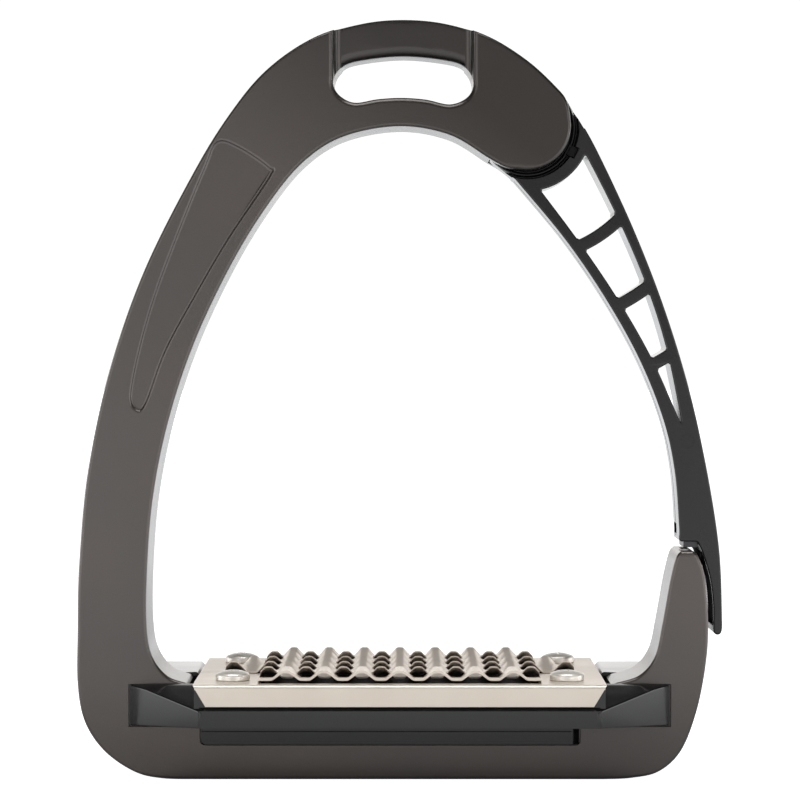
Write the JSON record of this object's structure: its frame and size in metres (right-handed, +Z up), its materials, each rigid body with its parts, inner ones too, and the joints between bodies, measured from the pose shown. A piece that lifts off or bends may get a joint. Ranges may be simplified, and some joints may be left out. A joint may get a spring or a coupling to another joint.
{
  "type": "stirrup iron",
  "caption": "Safety stirrup iron: metal frame with a leather eye, an outward-opening plastic arm and a wide steel grip tread.",
  "frame": {"origin": "middle of the flat underside of the base beam", "axes": "+Z up towards the leather eye, +X towards the release arm's side, +Y towards the back face"},
  "size_m": [0.1492, 0.0576, 0.1753],
  "materials": {
    "anodised_frame": "satin dark grey anodised",
    "moulded_nylon": "semi-gloss moulded black",
    "gloss_holder": "polished moulded black",
    "soft_rubber": "matt",
    "tread_sheet": "satin stainless sheet",
    "screw_steel": "bright stainless",
    "insert_brass": "turned",
    "bushing_bronze": "sintered bronze",
    "catch_metal": "nickel plated magnet"
  },
  "bodies": {
    "frame_body": {"frame": "anodised_frame", "hinge_screw": "screw_steel", "thrust_washer_front": "moulded_nylon", "thrust_washer_back": "moulded_nylon", "post_magnet": "catch_metal", "tread_holder": "gloss_holder", "tread_pad": "soft_rubber", "tread_plate": "tread_sheet", "tread_screw_1": "screw_steel", "tread_screw_2": "screw_steel", "tread_screw_3": "screw_steel", "tread_screw_4": "screw_steel", "tread_insert_1": "insert_brass", "tread_insert_2": "insert_brass", "tread_insert_3": "insert_brass", "tread_insert_4": "insert_brass", "base_screw_1": "screw_steel", "base_screw_2": "screw_steel", "base_insert_1": "insert_brass", "base_insert_2": "insert_brass"},
    "arm_body": {"release_arm": "moulded_nylon", "stop_key": "soft_rubber", "hinge_bushing": "bushing_bronze", "arm_magnet": "catch_metal"}
  },
  "joints": [
    {"name": "release_arm_hinge", "type": "hinge", "parent": "frame_body", "child": "arm_body", "pos_m": [0.02945, 0, 0.1506], "axis": [0, -1, 0], "range_deg": [0, 60]}
  ]
}
